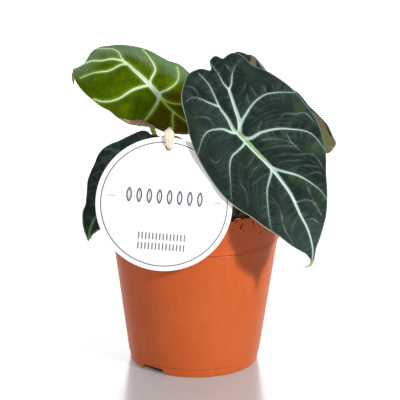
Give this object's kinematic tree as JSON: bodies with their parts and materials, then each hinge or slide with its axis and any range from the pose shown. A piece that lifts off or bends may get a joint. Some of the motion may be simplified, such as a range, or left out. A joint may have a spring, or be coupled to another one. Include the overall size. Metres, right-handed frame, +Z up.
{
  "type": "potted alocasia black velvet",
  "caption": "Small aroid house plant with velvety dark leaves and pale veins on arching petioles, in a tapered nursery pot with a round card tag.",
  "frame": {"origin": "middle of the pot's underside, on the floor", "axes": "+Z up, -Y towards the side that the tag hangs on, +X to the right of that side"},
  "size_m": [0.1751, 0.1316, 0.2189],
  "materials": {
    "pot_plastic": "thin moulded terracotta-orange thermoplastic, satin outside",
    "potting_mix": "damp fibrous peat and bark mix, dark brown",
    "crown_tissue": "short leafy stem, olive green with brown scars",
    "petiole_tissue": "smooth yellow-green stalk, faintly streaked",
    "dark_blade": "velvety blue-green to near black leaf with pale mint veins, tan underside",
    "young_blade": "young bright green leaf with pale veins, olive-brown base and dried brown margin",
    "tag_card": "white coated card with one thin grey ring line",
    "raffia": "pale straw-coloured raffia, fibrous"
  },
  "bodies": {
    "root": {"nursery_pot": "pot_plastic", "potting_mix": "potting_mix", "crown": "crown_tissue", "petiole_front_right": "petiole_tissue", "petiole_upper_left": "petiole_tissue", "petiole_lower_left": "petiole_tissue", "petiole_back_right": "petiole_tissue", "blade_front_right": "dark_blade", "blade_upper_left": "young_blade", "blade_lower_left": "dark_blade", "blade_back_right": "dark_blade", "round_tag": "tag_card", "raffia_tie": "raffia"}
  },
  "joints": []
}
